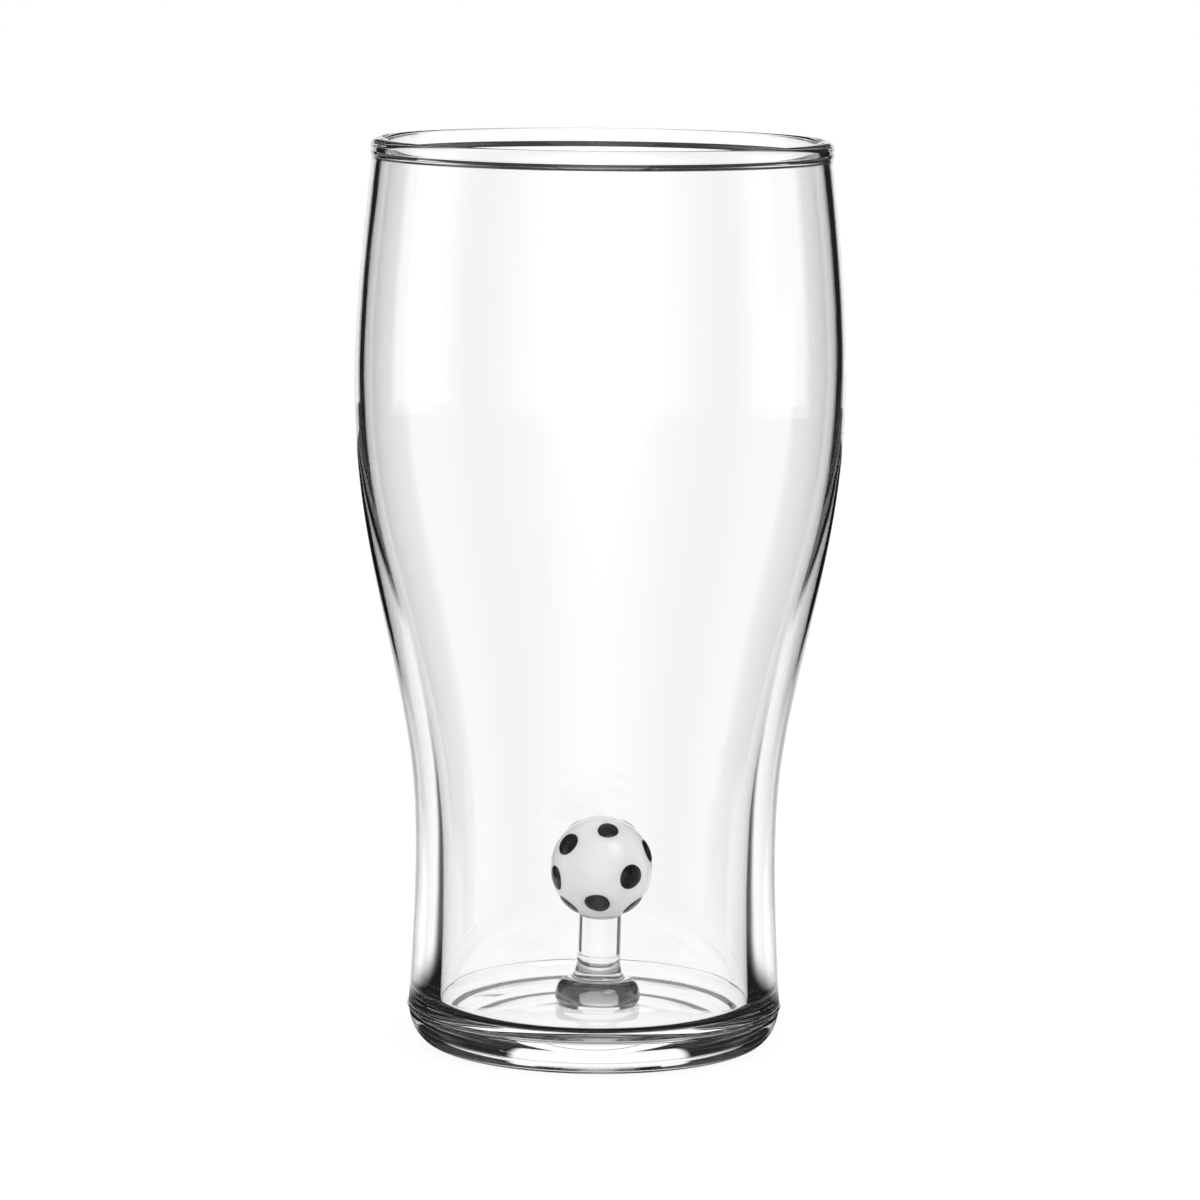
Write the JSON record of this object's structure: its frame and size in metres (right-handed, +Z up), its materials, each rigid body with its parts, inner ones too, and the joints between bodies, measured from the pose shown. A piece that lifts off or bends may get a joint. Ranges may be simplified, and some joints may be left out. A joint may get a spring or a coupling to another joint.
{
  "type": "pint glass",
  "caption": "Tall waisted pint glass of clear glass with a rolled rim and heavy base; a spotted white glass ball stands on a clear stem inside.",
  "frame": {"origin": "centre of the bottom of the glass, on the surface it stands on", "axes": "+Z up along the glass's axis, -Y to the front, where the picture's camera stands"},
  "size_m": [0.085, 0.085, 0.158],
  "materials": {
    "clear_glass": "clear, fire-polished soda-lime glass",
    "stem_glass": "clear lampworked glass rod with a pressed foot",
    "opal_glass": "glossy opal white glass",
    "black_glass": "glossy black glass"
  },
  "bodies": {
    "root": {"tumbler": "clear_glass", "stem": "stem_glass", "ball": "opal_glass", "dot_01": "black_glass", "dot_02": "black_glass", "dot_03": "black_glass", "dot_04": "black_glass", "dot_05": "black_glass", "dot_06": "black_glass", "dot_07": "black_glass", "dot_08": "black_glass", "dot_09": "black_glass", "dot_10": "black_glass", "dot_11": "black_glass", "dot_12": "black_glass", "dot_13": "black_glass", "dot_14": "black_glass", "dot_15": "black_glass"}
  },
  "joints": []
}
